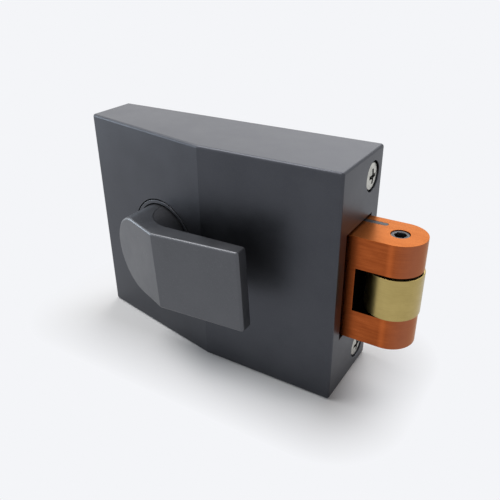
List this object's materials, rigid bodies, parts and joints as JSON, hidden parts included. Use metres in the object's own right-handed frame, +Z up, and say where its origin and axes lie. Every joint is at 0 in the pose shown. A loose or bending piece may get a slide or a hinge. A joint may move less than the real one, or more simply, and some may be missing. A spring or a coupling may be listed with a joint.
{
  "type": "nightlatch",
  "caption": "Surface-mounted rim nightlatch: a lever handle draws back a sprung, round-nosed bolt that carries a roller, in a case with a sloping front.",
  "frame": {"origin": "where the key cylinder's axis meets the face of the door, at the mouth of the mounting plate's tail bar hole", "axes": "+X the way the bolt is thrown, +Y into the door, +Z up; the handle faces -Y"},
  "size_m": [0.1553, 0.0573, 0.098],
  "materials": {
    "case_grey": "satin powder coat, dark grey",
    "collar_grey": "satin grey",
    "bolt_copper": "fine brushed, copper-coloured lacquer",
    "roller_brass": "satin turned brass",
    "bush_brass": "machined brass",
    "zinc_steel": "bright zinc plate",
    "plain_steel": "cold rolled steel",
    "dark_steel": "black oxide",
    "spring_steel": "drawn wire",
    "guide_plastic": "natural acetal",
    "buffer_rubber": "matt"
  },
  "bodies": {
    "case": {"case": "case_grey", "handle_collar": "collar_grey", "mounting_plate": "zinc_steel", "case_screws": "zinc_steel", "chassis_plate": "plain_steel", "chassis_screws": "zinc_steel", "bolt_guide_upper": "guide_plastic", "bolt_guide_lower": "guide_plastic", "guide_screws": "zinc_steel", "bolt_buffers": "buffer_rubber", "spring_rods": "plain_steel", "key_cam_bush": "bush_brass", "handle_washer": "guide_plastic", "bolt_spring_upper": "spring_steel", "bolt_spring_lower": "spring_steel"},
    "bolt": {"bolt": "bolt_copper", "bolt_strip": "dark_steel", "roller_pin": "plain_steel", "grub_screw": "dark_steel", "bolt_tail": "plain_steel", "tail_screws": "dark_steel", "handle_drive_pin": "zinc_steel", "key_drive_pin": "zinc_steel"},
    "roller": {"roller": "roller_brass"},
    "handle": {"handle": "case_grey", "handle_cam": "zinc_steel", "cam_washer": "zinc_steel", "cam_screw": "zinc_steel"},
    "key_cam": {"key_cam": "zinc_steel", "key_cam_clip": "spring_steel"}
  },
  "joints": [
    {"name": "bolt_slide", "type": "slide", "parent": "case", "child": "bolt", "axis": [-1, 0, 0], "range_m": [0, 0.0255], "stiffness_N_per_m": 1040, "springref_m": -0.01, "deforming": ["bolt_spring_upper", "bolt_spring_lower"]},
    {"name": "roller_spin", "type": "hinge", "parent": "bolt", "child": "roller", "pos_m": [0.0755, -0.0177, 0], "axis": [0, 0, 1], "continuous": true},
    {"name": "handle_turn", "type": "hinge", "parent": "case", "child": "handle", "pos_m": [-0.025, -0.03, 0], "axis": [0, 1, 0], "range_deg": [0, 70]},
    {"name": "key_cam_turn", "type": "hinge", "parent": "case", "child": "key_cam", "pos_m": [0, -0.008, 0], "axis": [0, -1, 0], "range_deg": [0, 100]}
  ],
  "couplings": [
    {"joint": "handle_turn", "follows": "bolt_slide", "rad_per_m": 47.911},
    {"joint": "key_cam_turn", "follows": "bolt_slide", "rad_per_m": 68.444}
  ]
}
